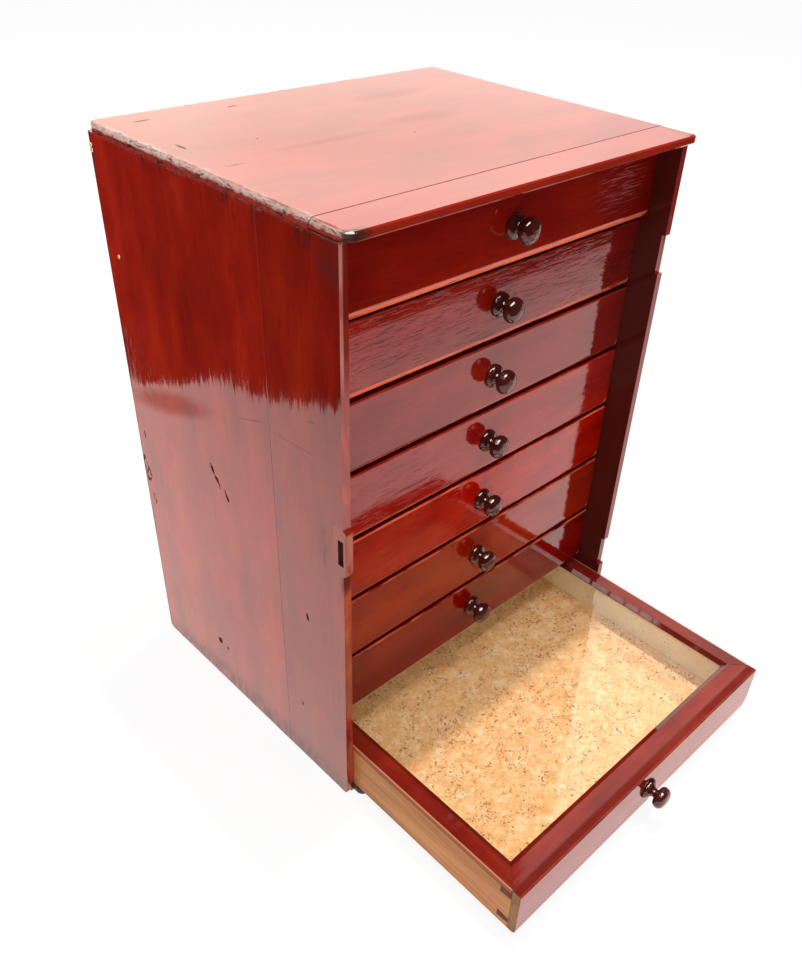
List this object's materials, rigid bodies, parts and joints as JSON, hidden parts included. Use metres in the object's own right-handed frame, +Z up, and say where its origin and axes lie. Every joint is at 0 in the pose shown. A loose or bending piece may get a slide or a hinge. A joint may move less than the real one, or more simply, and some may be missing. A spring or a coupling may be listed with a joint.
{
  "type": "specimen cabinet",
  "caption": "Tabletop specimen cabinet: stained carcass with a stack of sliding drawers, each lined with cork and closed by a lift-off framed glass lid.",
  "frame": {"origin": "centre of the carcass underside, midway between the side panels' front and rear edges", "axes": "+X to the cabinet's right as its front is faced, -Y out of the front, +Z up"},
  "size_m": [0.33, 0.4592, 0.4682],
  "materials": {
    "stained_carcass": "deep red stain under a worn gloss varnish",
    "stained_front": "deep red stain under a gloss varnish",
    "bare_wood": "bare, browned softwood",
    "cork": "granulated cork sheet",
    "pane": "clear",
    "stained_knob": "dark gloss varnish"
  },
  "bodies": {
    "carcass": {"left_front_board": "stained_carcass", "left_rear_board": "stained_carcass", "right_front_board": "stained_carcass", "right_rear_board": "stained_carcass", "top_board": "stained_carcass", "top_front_strip": "stained_carcass", "bottom_board": "stained_carcass", "back_panel": "bare_wood", "left_runners": "bare_wood", "right_runners": "bare_wood", "top_kickers": "bare_wood", "lock_keep_block": "stained_carcass"},
    "drawer_1": {"drawer_1_front": "stained_front", "drawer_1_box": "bare_wood", "drawer_1_cork": "cork", "drawer_1_lid": "stained_front", "drawer_1_glass": "pane", "drawer_1_knob": "stained_knob"},
    "drawer_2": {"drawer_2_front": "stained_front", "drawer_2_box": "bare_wood", "drawer_2_cork": "cork", "drawer_2_lid": "stained_front", "drawer_2_glass": "pane", "drawer_2_knob": "stained_knob"},
    "drawer_3": {"drawer_3_front": "stained_front", "drawer_3_box": "bare_wood", "drawer_3_cork": "cork", "drawer_3_lid": "stained_front", "drawer_3_glass": "pane", "drawer_3_knob": "stained_knob"},
    "drawer_4": {"drawer_4_front": "stained_front", "drawer_4_box": "bare_wood", "drawer_4_cork": "cork", "drawer_4_lid": "stained_front", "drawer_4_glass": "pane", "drawer_4_knob": "stained_knob"},
    "drawer_5": {"drawer_5_front": "stained_front", "drawer_5_box": "bare_wood", "drawer_5_cork": "cork", "drawer_5_lid": "stained_front", "drawer_5_glass": "pane", "drawer_5_knob": "stained_knob"},
    "drawer_6": {"drawer_6_front": "stained_front", "drawer_6_box": "bare_wood", "drawer_6_cork": "cork", "drawer_6_lid": "stained_front", "drawer_6_glass": "pane", "drawer_6_knob": "stained_knob"},
    "drawer_7": {"drawer_7_front": "stained_front", "drawer_7_box": "bare_wood", "drawer_7_cork": "cork", "drawer_7_lid": "stained_front", "drawer_7_glass": "pane", "drawer_7_knob": "stained_knob"},
    "drawer_8": {"drawer_8_front": "stained_front", "drawer_8_box": "bare_wood", "drawer_8_cork": "cork", "drawer_8_lid": "stained_front", "drawer_8_glass": "pane", "drawer_8_knob": "stained_knob"}
  },
  "joints": [
    {"name": "drawer_1_slide", "type": "slide", "parent": "carcass", "child": "drawer_1", "axis": [0, -1, 0], "range_m": [-0.006, 0.202]},
    {"name": "drawer_2_slide", "type": "slide", "parent": "carcass", "child": "drawer_2", "axis": [0, -1, 0], "range_m": [0, 0.208]},
    {"name": "drawer_3_slide", "type": "slide", "parent": "carcass", "child": "drawer_3", "axis": [0, -1, 0], "range_m": [0, 0.208]},
    {"name": "drawer_4_slide", "type": "slide", "parent": "carcass", "child": "drawer_4", "axis": [0, -1, 0], "range_m": [0, 0.208]},
    {"name": "drawer_5_slide", "type": "slide", "parent": "carcass", "child": "drawer_5", "axis": [0, -1, 0], "range_m": [0, 0.208]},
    {"name": "drawer_6_slide", "type": "slide", "parent": "carcass", "child": "drawer_6", "axis": [0, -1, 0], "range_m": [0, 0.208]},
    {"name": "drawer_7_slide", "type": "slide", "parent": "carcass", "child": "drawer_7", "axis": [0, -1, 0], "range_m": [0, 0.208]},
    {"name": "drawer_8_slide", "type": "slide", "parent": "carcass", "child": "drawer_8", "axis": [0, -1, 0], "range_m": [-0.2, 0.008]}
  ]
}
